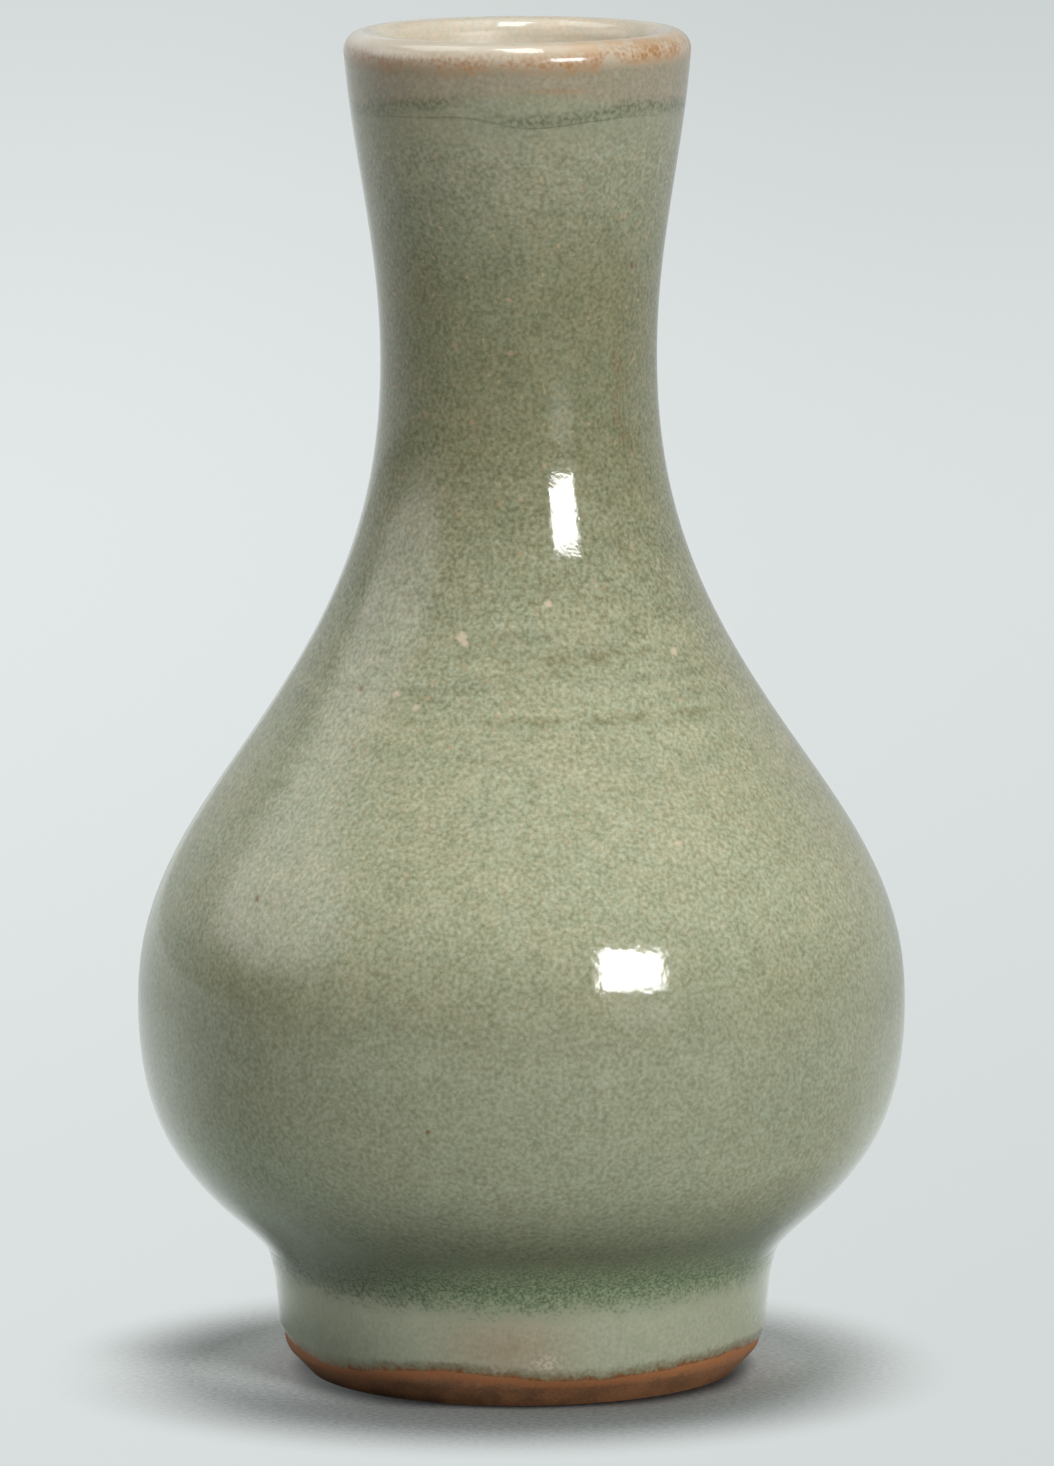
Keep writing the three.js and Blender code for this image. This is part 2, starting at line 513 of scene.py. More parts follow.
front_edge = GLAZE_EDGE + wave_height(GLAZE_EDGE_WAVES, 0)
print("glaze ends %.2f mm above the table at the front" % (front_edge / MM))

# %% [markdown]
# ## An edge that follows its waves
#
# Sculpting the edge by hand would leave bumps in the glossy coat. Sliding its points along the wall keeps
# the coat's depth, so the wall's radius has to be known at every height. It is read from samples of the
# stretches. Points farther from the edge slide less, and beyond its reach none does.

# %% Slide an edge along the wall
SAMPLES = 60

foot_outside = [softened_edge, foot_wall]
body_outside = [lower_outside, upper_outside, throat_outside, flare_outside]
wall_samples = sorted(
    (point_on(curve, i / SAMPLES).z, point_on(curve, i / SAMPLES).x)
    for curve in joined(foot_outside, body_outside)
    for i in range(SAMPLES + 1)
)


def wall_radius(height):
    """The radius of the clay's outside at a height."""
    after = bisect.bisect_left(wall_samples, (height, 0))
    after = min(max(after, 1), len(wall_samples) - 1)
    (z0, r0), (z1, r1) = wall_samples[after - 1], wall_samples[after]
    return r0 + (r1 - r0) * min(max((height - z0) / max(z1 - z0, 1e-9), 0), 1)


def wave_edge(piece, edge, reach, waves):
    """Slide the points near an edge of a coat up and down the wall, so that the edge follows the waves."""
    for vertex in piece.data.vertices:
        nearness = 1 - abs(vertex.co.z - edge) / reach
        if nearness <= 0:
            continue
        degrees = math.degrees(math.atan2(vertex.co.x, -vertex.co.y))
        rise = wave_height(waves, degrees) * eased(nearness, 0, 1)
        radius = math.hypot(vertex.co.x, vertex.co.y)
        moved = radius + wall_radius(vertex.co.z + rise) - wall_radius(vertex.co.z)
        vertex.co.x *= moved / radius
        vertex.co.y *= moved / radius
        vertex.co.z += rise


print("radius of the clay at the belly: %.2f mm" % (wall_radius(belly.point.z) / MM))

# %% [markdown]
# ## First coat
#
# The first coat goes from the foot to the crown of the lip. At the foot it thins out to a soft edge. Both
# coats ran together into a pool in the cove above the foot, and the first one takes up what lies below the
# edge of the second. The outline goes up its free surface and back down on the clay.

# %% First coat, over the whole outside
POOL_FROM = 8.6 * MM
TOE_TOP = 13.3 * MM
POOL_DEEPEST = 15 * MM
POOL_TOP = 21 * MM


def cut_at(curve, *heights):
    """The parts of a stretch between its ends and these heights."""
    shares = [0, *(share_at_height(curve, height) for height in heights), 1]
    return [part_of(curve, low, high) for low, high in zip(shares, shares[1:])]


def both_depth(height):
    """Depth of both coats together near the foot, deepest in the cove."""
    filled = POOL * eased(height, POOL_FROM, POOL_DEEPEST)
    drained = (POOL - SECOND_COAT) * eased(height, POOL_DEEPEST, POOL_TOP)
    return FIRST_COAT + filled - drained


def first_depth(height):
    """Depth of the first coat, which takes up the pool below the edge of the second."""
    under = eased(height, DIP_LOW, POOL_DEEPEST)
    return both_depth(height) * (1 - under) + FIRST_COAT * under


_, glaze_brink, foot_glazed, foot_pooled = cut_at(foot_wall, GLAZE_EDGE, GLAZE_EDGE + FEATHER, POOL_FROM)
apron, toe, dip_brink, cove, low_wall = cut_at(lower_outside, DIP_LOW, TOE_TOP, POOL_DEEPEST, POOL_TOP)
near_foot = [glaze_brink, foot_glazed, foot_pooled, apron, toe, dip_brink]
rest_of_wall = [cove, low_wall, upper_outside, throat_outside, flare_outside, lip_outside]
first_coat = turn_piece(
    "first_coat",
    closed_outline(
        raised(glaze_brink, 0, FIRST_COAT),
        raised(foot_glazed, FIRST_COAT, FIRST_COAT),
        pooled([foot_pooled, apron, toe, dip_brink], first_depth),
        raised_run(rest_of_wall, FIRST_COAT),
        backwards(raised_run(near_foot + rest_of_wall, 0)),
    ),
    COAT_STEPS,
)
wave_edge(first_coat, GLAZE_EDGE, GLAZE_EDGE_REACH, GLAZE_EDGE_WAVES)
wave_edge(first_coat, DIP_LOW, DIP_LOW_REACH, DIP_LOW_WAVES)

# %% [markdown]
# ## Second coat
#
# The second dip stops below the lip and above the foot. It is thickest in the cove, where the melted glaze
# ran together. Up the flare of the neck it has drained away, so it thins evenly to nothing, and no step
# can be seen at its upper edge. Its lower edge is tucked a hair into the first coat, because both melted
# into each other.

# %% Second coat, thick in the cove and drained from the flare
BOTH_COATS = FIRST_COAT + SECOND_COAT


def tucked(height):
    """How far the lower edge of the second coat is pressed into the first."""
    return TUCK * (1 - eased(height, DIP_LOW, TOE_TOP))


def outer_depth(height):
    """Depth at which the free surface of the second coat lies."""
    return both_depth(height) - tucked(height)


def under_depth(height):
    """Depth at which the second coat lies on the first."""
    return first_depth(height) - tucked(height)


flare = part_of(flare_outside, 0, share_at_height(flare_outside, DIP_HIGH))
second_coat = turn_piece(
    "second_coat",
    closed_outline(
        pooled([toe, dip_brink, cove], outer_depth),
        raised_run([low_wall, upper_outside, throat_outside], BOTH_COATS),
        raised(flare, BOTH_COATS, FIRST_COAT),
        backwards(raised_run([cove, low_wall, upper_outside, throat_outside, flare], FIRST_COAT)),
        backwards(pooled([toe, dip_brink], under_depth)),
    ),
    COAT_STEPS,
)
wave_edge(second_coat, DIP_LOW, DIP_LOW_REACH, DIP_LOW_WAVES)
wave_edge(second_coat, DIP_HIGH, DIP_HIGH_REACH, DIP_HIGH_WAVES)

# %% [markdown]
# ## Inside and base
#
# The potter pours glaze into the vase, swirls it and tips it out, which coats the inside up to the lip.
# The recess under the foot is brushed with thin glaze, which stops short of the bearing ring, so that the
# vase doesn't stick to the kiln shelf.

# %% Inside coat and base coat
BASE_EDGE = 3 * MM

inside_wall = [lower_inside, upper_inside, throat_inside, flare_inside, lip_inside]
inside_coat = turn_piece(
    "inside_coat",
    joined(raised_run(inside_wall, 0), backwards(raised_run(inside_wall, -INSIDE_COAT))),
    COAT_STEPS,
)
recess_edge = recess_top.lerp(bearing_in, (recess_top.z - BASE_EDGE) / recess_top.z)
base_middle = recess_middle - Vector((0, 0, BASE_COAT))
base_corner = recess_corner - Vector((BASE_COAT, 0, BASE_COAT))
base_coat = turn_piece(
    "base_coat",
    joined(
        [straight(base_middle, base_corner), straight(base_corner, recess_edge)],
        [straight(recess_edge, recess_top), straight(recess_top, recess_corner)],
        [straight(recess_corner, recess_middle)],
    ),
)

# %% [markdown]
# ## Shader maths
#
# A finish is a net of nodes. Written node by node it is hard to read, so a small class wraps one socket
# and lets Python's own operators make the Math nodes: `1 - mask * 0.5` is then a piece of the net.

# %% A socket that understands arithmetic


class Wire:
    """One output socket of a node tree."""

    def __init__(self, tree, socket):
        self.tree = tree
        self.socket = socket

    def node(self, kind, settings=None, sockets=None, output=0):
        """A new node: its settings are set first, then its sockets are filled or linked."""
        made = self.tree.nodes.new(kind)
        for name, value in (settings or {}).items():
            setattr(made, name, value)
        for name, value in (sockets or {}).items():
            if isinstance(value, Wire):
                self.tree.links.new(value.socket, made.inputs[name])
            else:
                made.inputs[name].default_value = value
        return Wire(self.tree, made.outputs[output])

    def math(self, operation, *others):
        values = dict(enumerate((self, *others)))
        return self.node("ShaderNodeMath", {"operation": operation}, values)

    def __add__(self, other):
        return self.math("ADD", other)

    __radd__ = __add__

    def __sub__(self, other):
        return self.math("SUBTRACT", other)

    def __rsub__(self, other):
        return self.node("ShaderNodeMath", {"operation": "SUBTRACT"}, {0: other, 1: self})

    def __mul__(self, other):
        return self.math("MULTIPLY", other)

    __rmul__ = __mul__

    def __truediv__(self, other):
        return self.math("DIVIDE", other)

    def smooth(self, start, end):
        """0 before start and 1 after end, with an eased step between. End may lie below start."""
        if start > end:
            return 1 - self.smooth(end, start)
        settings = {"interpolation_type": "SMOOTHSTEP"}
        sockets = {"Value": self, "From Min": start, "From Max": end}
        return self.node("ShaderNodeMapRange", settings, sockets)

    def bump_at(self, centre, half_width):
        """1 at centre, easing to 0 at half_width to either side."""
        return (self - centre).math("ABSOLUTE").smooth(half_width, 0)

    def noise(self, size, detail=2, roughness=0.5, stretch=(1, 1, 1)):
        """Cloudy noise from 0 to 1 with grains of about this size, on a wire that holds a place."""
        spread = self.node("ShaderNodeVectorMath", {"operation": "MULTIPLY"}, {0: self, 1: stretch})
        sockets = {"Vector": spread, "Scale": 1 / size, "Detail": detail, "Roughness": roughness}
        return self.node("ShaderNodeTexNoise", None, sockets)

    def away_from(self, point):
        """The distance of a place from a point."""
        return self.node("ShaderNodeVectorMath", {"operation": "DISTANCE"}, {0: self, 1: point}, "Value")

    def mix(self, first, second):
        """Two colours mixed by this wire."""
        settings = {"data_type": "RGBA"}
        return self.node("ShaderNodeMix", settings, {0: self, 6: first, 7: second}, output=2)

    def tinted(self, tint):
        """This colour times another colour."""
        settings = {"data_type": "RGBA", "blend_type": "MULTIPLY"}
        return self.node("ShaderNodeMix", settings, {0: 1, 6: self, 7: tint}, output=2)

    def scaled(self, factor):
        """This colour or place times a factor."""
        return self.node("ShaderNodeVectorMath", {"operation": "SCALE"}, {0: self, "Scale": factor})

    def axes(self):
        """The X, Y and Z of a place or a direction."""
        split = self.node("ShaderNodeSeparateXYZ", None, {0: self})
        return [Wire(self.tree, socket) for socket in split.socket.node.outputs]


print("a wire knows:", ", ".join(name for name in vars(Wire) if not name.startswith("_")))

# %% [markdown]
# ## Starting a finish
#
# Every finish starts from the place on the piece, in millimetres, because each piece's object sits at the
# origin. Round a pot it is handier to think in degrees from the front and height above the table, and both
# follow from the place.

# %% Colour, new finish, angle and height


def colour(red, green, blue):
    """A colour from 0 to 255 as it looks on a screen, in Blender's linear light."""
    values = [level / 255 for level in (red, green, blue)]
    linear = [v / 12.92 if v <= 0.04045 else ((v + 0.055) / 1.055) ** 2.4 for v in values]
    return (*linear, 1)


def new_finish(name):
    """A new material: its tree's shader, and the place on the piece in millimetres."""
    material = bpy.data.materials.new(name)
    material.use_nodes = True
    tree = material.node_tree
    shader = tree.nodes["Principled BSDF"]
    start = Wire(tree, None)
    place = start.node("ShaderNodeTexCoord", output="Object")
    return material, shader, place.scaled(1 / MM)


def angle_and_height(place):
    """Degrees round the pot from the front, to the right, and millimetres above the table.

    The back mirrors the front, so that no tone jumps where the angle starts again.
    """
    across, depth, height = place.axes()
    angle = across.math("ARCTAN2", depth.math("ABSOLUTE")) * (180 / math.pi)
    return angle, height


print("a screen grey of 128 is %.3f in linear light" % colour(128, 128, 128)[0])

# %% [markdown]
# ## Feeding a shader
#
# The tones follow the same wavy edges as the meshes do, so the waves are worked out once more, in nodes. A
# shader then takes a colour, a roughness, and heights, each of which becomes a Bump node that passes its
# normal on to the next.

# %% Wavy edges in nodes, and the inputs of a shader


def cosine(degrees):
    return (degrees * (math.pi / 180)).math("COSINE")


def wavy(edge, waves, angle):
    """The height in millimetres of an edge that follows the waves, at each angle."""
    height = angle * 0 + edge / MM
    for wave in waves:
        height = height + cosine((angle + wave.start) * wave.count) * (wave.height / MM)
    return height


def finish_with(shader, base, roughness, bumps=()):
    """Feed a shader: its colour, its roughness, and pairs of a height wire and a depth in millimetres."""
    tree = shader.id_data
    for socket, value in (("Base Color", base), ("Roughness", roughness)):
        if isinstance(value, Wire):
            tree.links.new(value.socket, shader.inputs[socket])
        else:
            shader.inputs[socket].default_value = value
    normal = None
    for height, depth in bumps:
        sockets = {"Height": height, "Distance": depth * MM, "Strength": 1}
        if normal is not None:
            sockets["Normal"] = normal
        normal = height.node("ShaderNodeBump", None, sockets)
    if normal is not None:
        tree.links.new(normal.socket, shader.inputs["Normal"])


print("the glaze edge follows", len(GLAZE_EDGE_WAVES), "waves")

# %% [markdown]
# ## What the glazes share
#
# A celadon glaze is clear and greenish, and full of fine bubbles and undissolved grains. Over a buff body
# this shows as a mottle of light and dark grains, half a millimetre wide, that drifts between grey-green
# and tan. Both dips are the same glaze, so the mottle is one function for both.

# %% Mottle, skin and specks of a glaze
GRAIN = 0.42
TAN_DRIFT = (1.042, 0.988, 0.95, 1)
GREEN_DRIFT = (0.968, 1.0, 1.0, 1)
OLIVE = (1, 1, 0.5, 1)
MILKY = (1, 1, 1.5, 1)
GLAZE_IOR = 1.6
GLOSSY = 0.09


def mottled(tone, place, strength, drifting=1):
    """A tone with milky light grains and olive dark ones, drifting slowly between grey-green and tan."""
    grains = place.noise(GRAIN)
    flecks = place.noise(0.8, 2, 0.6)
    clumps = place.noise(2.4, 3, 0.6)
    drift = place.noise(9)
    hue = flecks * 0.5 + clumps * 0.2 + drift * 0.3
    tint = ((hue.smooth(0.38, 0.62) - 0.5) * drifting + 0.5).mix(GREEN_DRIFT, TAN_DRIFT)
    light = (grains * 0.75 + clumps * 0.25 - 0.5) * strength
    milk = (light * 0.28 + 0.5).mix(OLIVE, MILKY)
    return milk.tinted(tint.tinted(tone)).scaled(1 + light)


def finish_glaze(shader, place, base, roughness):
    """Feed a shader with a glaze: slow swells, small blisters, and pits where bubbles burst."""
    swells = place.noise(8, 1)
    blisters = place.noise(1.3, 1)
    pits = place.noise(0.6, 2, 0.6)
    finish_with(shader, base, roughness, [(swells, 0.05), (blisters, 0.016), (pits, 0.01)])
    shader.inputs["IOR"].default_value = GLAZE_IOR


def spot(place, degrees, height, size):
    """A mask of a small ragged spot on the outside of the glaze."""
    radius = (wall_radius(height * MM) + BOTH_COATS) / MM
    turn = math.radians(degrees)
    centre = (radius * math.sin(turn), -radius * math.cos(turn), height)
    ragged = place.noise(0.5, 1) * size
    return (place.away_from(centre) + ragged).smooth(size * 1.6, size * 0.7) * 0.85


print("mottle of grains %.2f mm wide" % GRAIN)

# %% [markdown]
# ## Glaze at the foot
#
# Below the cove the second dip ends, and a pale band of the first coat shows. The dark pool above it
# breaks up into green grains along its lower edge. At the front of the foot the body shows through as a
# pinkish patch with a few pale crystals. Right at its end the glaze is so thin that iron in the clay turns
# it orange. Colours could be painted on the mesh, but masks of angle and height keep every edge sharp.

# %% Tone of the glaze near the foot
FOOT_PALE = colour(187, 192, 166)
FOOT_PAINTED_SHADE = colour(144, 152, 128)
# Green of the cove: pooled glaze, darkened in part as painted shade under the belly.
COVE_GREEN_AND_SHADE = colour(122, 129, 102)
POOL_DARK = colour(108, 126, 94)
POOL_LIGHT = colour(157, 169, 133)
PATCH_PINK = colour(184, 171, 145)
CRYSTAL = colour(222, 206, 184)
THIN_BUFF = colour(150, 134, 100)
IRON_ORANGE = colour(146, 88, 44)
PATCH_ANGLE = -4
PATCH_HEIGHT = 6.2
POOL_EDGE = (9.4, 12.4)
POOL_FADE = (17.5, 12.5)
THIN_RISE = (1.7, 0.3)
ORANGE_RISE = (0.8, 0.1)


def above_glaze_edge(place, angle, height):
    """Millimetres above the lower edge of the glaze, roughened by its grains."""
    grains = place.noise(GRAIN)
    clumps = place.noise(1.6, 3, 0.6)
    return height - wavy(GLAZE_EDGE, GLAZE_EDGE_WAVES, angle) + (grains - 0.5) * 1.1 + (clumps - 0.5) * 1.2


def foot_glaze(place, angle, height):
    """The tone of the glaze on the foot: pale band, pinkish patch, crystals, dark pool and thin edge, with
    band and pool painted darker at the left as painted shade.
    """
    grains = place.noise(GRAIN)
    clumps = place.noise(1.6, 2, 0.6)
    # Painted shade: the band is painted darker towards the left, most of all low down.
    painted_shade = angle.smooth(-15, -60) * (0.4 + height.smooth(8.5, 4.5) * 0.6)
    band = painted_shade.mix(FOOT_PALE, FOOT_PAINTED_SHADE)
    pink = angle.bump_at(PATCH_ANGLE, 24) * (height + (clumps - 0.5) * 3).bump_at(PATCH_HEIGHT, 5)
    band = mottled(pink.mix(band, PATCH_PINK), place, 0.6, 0.5)
    left_cluster = angle.bump_at(-7, 5) * height.bump_at(3.7, 0.9)
    right_cluster = angle.bump_at(5.5, 5.5) * height.bump_at(4.6, 1.4)
    crystals = (left_cluster + right_cluster) * grains.smooth(0.46, 0.56)
    band = crystals.mix(band, CRYSTAL)
    level = height + cosine(angle - 5) + (clumps - 0.5) * 2
    ragged = (level + (grains - 0.5) * 4).smooth(*POOL_EDGE)
    pool_tone = place.noise(0.3, 2, 0.6).smooth(0.36, 0.64).mix(POOL_DARK, POOL_LIGHT)
    # Painted shade: the pool is painted darker towards the left.
    pool_tone = pool_tone.scaled(1 - angle.smooth(-5, -45) * 0.42)
    pool = level.smooth(*POOL_FADE).mix(mottled(COVE_GREEN_AND_SHADE, place, 0.9), pool_tone)
    washed = ragged.mix(band, pool)
    rise = above_glaze_edge(place, angle, height)
    buff = rise.smooth(*THIN_RISE).mix(washed, THIN_BUFF)
    return rise.smooth(*ORANGE_RISE).mix(buff, IRON_ORANGE)


print("dark pool from %.1f to %.1f mm above the table" % (POOL_EDGE[0], POOL_FADE[0]))

# %% [markdown]
# ## Glaze at the lip
#
# The second dip ends below the lip. It was dipped twice: a soft dark line rises from the left, and another
# line of dark green grains sags round the front and the right. Above both, the first coat is greyish buff.
# On the edge of the lip the glaze ran thin, and iron from the body shows as orange-brown clouds. The crest
# is cream.

# %% Tone of the glaze near the lip
NECK_TOP = colour(159, 159, 134)
LIP_BUFF = colour(165, 156, 134)
LIP_CREAM = colour(228, 217, 196)
LIP_PAINTED_LIGHT = colour(250, 240, 224)
LIP_PEACH = colour(223, 191, 152)
IRON_BROWN = colour(178, 127, 79)
LINE_GREEN = colour(96, 104, 76)
SAG_HEIGHT = 123.1
THREAD_HEIGHT = 125.5
IRON_HEIGHT = 128.0
CREST = (127.0, 128.9)


def dip_lines(angle, height, grains):
    """Masks of the bare first coat above the second dip, and of the dark lines along its edge."""
    left_edge = angle * 0.03 + 125.4
    right_edge = (125.6 - angle * 0.045).math("MAXIMUM", 123.5)
    bare = (height - left_edge.math("MINIMUM", right_edge)).smooth(-0.8, 0.9)
    left_line = (height - left_edge).bump_at(-0.3, 1.1) * angle.smooth(-8, -30) * 0.55
    sagging = SAG_HEIGHT - cosine((angle - 5) * 4) * 0.5
    right_line = (height - sagging).bump_at(0, 1.2) * angle.smooth(-18, 4) * 0.66
    return bare, (left_line + right_line) * (0.4 + grains.smooth(0.62, 0.38) * 0.6)


def lip_glaze(place, angle, height):
    """The tone of the glaze round the lip: dip lines, buff band, cream crest with painted light at its left
    end, and clouds of iron.
    """
    grains = place.noise(GRAIN)
    clouds = place.noise(2.2, 3, 0.6)
    uneven = height + (clouds - 0.5) * 0.8
    bare, lines = dip_lines(angle, uneven, grains)
    dipped = lines.mix(mottled(bare.mix(NECK_TOP, LIP_BUFF), place, 0.9), LINE_GREEN)
    # Painted light: the crest is painted lighter towards the left.
    cream_and_painted_light = angle.smooth(-35, -70).mix(LIP_CREAM, LIP_PAINTED_LIGHT)
    rim_tone = (angle.smooth(-15, 35) * clouds.smooth(0.3, 0.6) * 0.8).mix(cream_and_painted_light, LIP_PEACH)
    crest = (height + (clouds - 0.5)).smooth(*CREST).mix(dipped, rim_tone)
    strength = 0.7 + angle.smooth(-60, 0) * 0.2
    belt = (height + (clouds - 0.5) * 1.6 - angle.smooth(10, 50) * 0.8).bump_at(IRON_HEIGHT, 1.6)
    iron = belt * (0.25 + (clouds * 0.45 + grains * 0.55).smooth(0.38, 0.62) * 0.75) * strength
    thread = (height + (grains - 0.5) * 0.8).bump_at(THREAD_HEIGHT, 0.5) * angle.bump_at(13, 24) * 0.3
    return iron.math("MAXIMUM", thread).mix(crest, IRON_BROWN)


print("iron at %.1f mm, dip lines from %.1f mm" % (IRON_HEIGHT, SAG_HEIGHT))

# %% [markdown]
# ## Tone of the celadon
#
# The full coat is olive where it is thin on the neck, palest on the upper belly where it is thick and
# milky, and greyer below the belly. Towards the cove it darkens, partly as pooled glaze and partly as
# painted shade under the belly. Turning marks show as level bands round the shoulder, two of them darker.
# Round the belly there is an olive belt, with painted shade at the right and lower left, a painted cool
# reflection low on the left, and painted bounce light low on the right.

# %% Tone of the celadon
NECK_OLIVE = colour(137, 137, 107)
BELLY_GREEN = colour(184, 187, 156)
LOW_GREEN = colour(162, 166, 139)
MARK_OLIVE = colour(146, 144, 108)
MARKS_MIDDLE = 69
LOW_MARK = 66.4
HIGH_MARK = 71.8


def shoulder_bands(place, angle, height):
    """How dark the level turning marks are: soft bands, and two lines of olive grains."""
    turning = place.noise(1.1, 2, 0.5, (0.08, 0.08, 1))
    clumps = place.noise(1.2, 2, 0.6, (0.4, 0.4, 1))
    bands = (turning - 0.5) * height.bump_at(MARKS_MIDDLE, 17) * 0.5
    uneven = height + (clumps - 0.5)
    low_line = uneven.bump_at(LOW_MARK, 0.7) * angle.bump_at(26, 58) * clumps.smooth(0.3, 0.6) * 0.8
    high_line = uneven.bump_at(HIGH_MARK, 0.9) * angle.bump_at(16, 52) * clumps.smooth(0.36, 0.64) * 0.75
    return bands, low_line + high_line


def round_belly_tone_and_painted_light(body, angle, height):
    """An olive belt under the widest part, painted shade at the right and lower left, a painted cool
    reflection low on the left, and painted bounce light low on the right.
    """
    belt = height.smooth(49, 41) * height.smooth(34.5, 39) * (1 - angle.smooth(0, 45) * 0.4)
    body = belt.mix(body, body.tinted((0.875, 0.86, 0.84, 1)))
    # Painted shade: the lower left of the belly is painted darker.
    painted_shade_lower_left = angle.bump_at(-45, 30) * height.bump_at(38, 11)
    body = painted_shade_lower_left.mix(body, body.scaled(0.9))
    # Painted shade: the far right of the belly is painted darker and warmer.
    painted_shade_right = angle.smooth(40, 75) * height.smooth(42, 56) * height.smooth(92, 76)
    body = painted_shade_right.mix(body, body.tinted((0.87, 0.84, 0.8, 1)))
    # Painted reflection: low on the left the pale floor's reflection is painted as a cool, lighter tint.
    reflection_farther_left = angle.smooth(-45, -70) * height.smooth(50, 42) * 0.7
    painted_cool_reflection = (angle.smooth(-20, -50) * height.smooth(31, 23)).math("MAXIMUM", reflection_farther_left)
    body = painted_cool_reflection.mix(body, body.tinted((1.05, 1.12, 1.17, 1)))
    # Painted light: bounce light low on the right is painted as a paler tone.
    painted_bounce_light = angle.smooth(10, 45) * height.smooth(30, 19)
    return painted_bounce_light.mix(body, body.scaled(1.12))


def celadon_tone(place, angle, height):
    """The tone of the full coat between the foot and the lip."""
    thin = height.smooth(104, 122).mix(NECK_OLIVE, NECK_TOP)
    upper = height.smooth(100, 58).mix(thin, BELLY_GREEN)
    # Towards the cove the tone darkens, partly as pooled glaze and partly as painted shade under the belly.
    lower = height.smooth(24, 15).mix(LOW_GREEN, COVE_GREEN_AND_SHADE)
    waist = height.smooth(53, 40) * 0.45 + height.smooth(43, 33) * 0.55
    strength = 1.35 + height.smooth(36, 48) * 0.3 + height.bump_at(80, 20) * 0.4
    body = mottled(waist.mix(upper, lower), place, strength, 0.5 + height.smooth(32, 52) * 0.5)
    body = round_belly_tone_and_painted_light(body, angle, height)
    bands, lines = shoulder_bands(place, angle, height)
    return lines.mix(body.scaled(1 - bands), mottled(MARK_OLIVE, place, strength))


print("turning marks at %.1f and %.1f mm" % (LOW_MARK, HIGH_MARK))

# %% [markdown]
# ## Celadon of the second dip
#
# The tones of the foot and the lip fade into the celadon. Tan flecks lie all over the upper half, a few
# specks of pale grit and iron sit in the glaze, and rust has run down the neck on the right. Each speck is
# given by its angle, its height and its size, so that it sits on the surface wherever the wall goes.

# %% Celadon glaze
GRIT = colour(234, 216, 188)
SPECK_TAN = colour(176, 152, 120)
FLECK_TAN = colour(200, 172, 134)
RUST = colour(128, 92, 58)
FOOT_TONES = (17.5, 14)
LIP_TONES = (118, 122)
RUST_ANGLE = 47
RUST_HEIGHT = 96.5
GRIT_SPOTS = [
    (-17, 73.8, 0.7), (-15.6, 73.2, 0.5), (47.5, 71.7, 0.6), (-32.5, 68.4, 0.5),
    (-26, 67.3, 0.5), (9, 76.8, 0.45), (29, 55.2, 0.5),
]
TAN_SPOTS = [(-41, 94.1, 0.45), (-27, 101, 0.4), (-19, 93.7, 0.4), (-3.5, 100.3, 0.4), (2, 113.1, 0.35)]
RUST_SPOTS = [(-14, 29.2, 0.35), (-47.5, 49.5, 0.5), (51, 108.2, 0.4), (-44, 68.5, 0.4)]

celadon, shader, place = new_finish("celadon_glaze")
angle, height = angle_and_height(place)
base = celadon_tone(place, angle, height)
base = height.smooth(*FOOT_TONES).mix(base, foot_glaze(place, angle, height))
base = height.smooth(*LIP_TONES).mix(base, lip_glaze(place, angle, height))
flecks = place.noise(0.7, 0).smooth(0.76, 0.82) * height.smooth(46, 60)
base = (flecks * 0.5).mix(base, FLECK_TAN)
for tone, spots in ((GRIT, GRIT_SPOTS), (SPECK_TAN, TAN_SPOTS), (RUST, RUST_SPOTS)):
    for degrees, level, size in spots:
        base = spot(place, degrees, level, size).mix(base, tone)
run_down = angle.bump_at(RUST_ANGLE, 7) * height.bump_at(RUST_HEIGHT, 8)
rusty = run_down * place.noise(1.6, 2, 0.6).smooth(0.4, 0.65)
base = (rusty * 0.6).mix(base, RUST)
finish_glaze(shader, place, base, GLOSSY)
print("celadon:", len(celadon.node_tree.nodes), "nodes")

# %% [markdown]
# ## Thin glaze of the first dip
#
# It shows on the foot and on the lip, and shares their tones with the second dip, so that no border can be
# seen where one coat ends on the other.

# %% Thin glaze
thin_glaze, shader, place = new_finish("thin_glaze")
angle, height = angle_and_height(place)
base = height.smooth(60, 90).mix(foot_glaze(place, angle, height), lip_glaze(place, angle, height))
roughness = 0.1 + height.bump_at(IRON_HEIGHT - 0.1, 1.3) * 0.14
finish_glaze(shader, place, base, roughness)
print("thin glaze:", len(thin_glaze.node_tree.nodes), "nodes")

# %% [markdown]
# ## Cream glaze inside
#
# Inside the mouth the glaze is cream, with the same fine mottle in tan. It is glossy on the lip and duller
# farther down, where it dried before it could flow.

# %% Cream glaze
CREAM = colour(231, 221, 201)
FLOWED = (128.6, 129.0)

cream, shader, place = new_finish("cream_glaze")
angle, height = angle_and_height(place)
roughness = 0.42 - height.smooth(*FLOWED) * 0.34
finish_glaze(shader, place, mottled(CREAM, place, 0.4), roughness)
print("cream glaze:", len(cream.node_tree.nodes), "nodes")

# %% [markdown]
# ## Bare clay, stoneware and slip
#
# Iron in the clay burnt dark brown where the foot was bare in the kiln, and orange along the glaze. The
# clay inside the wall never met the flame, so it stays buff and matt, and the slip in the joints is a shade
# darker and smoother.

# %% Clays
CLAY_DARK = colour(132, 94, 67)
CLAY_BROWN = colour(168, 117, 78)
CLAY_ORANGE = colour(164, 107, 66)

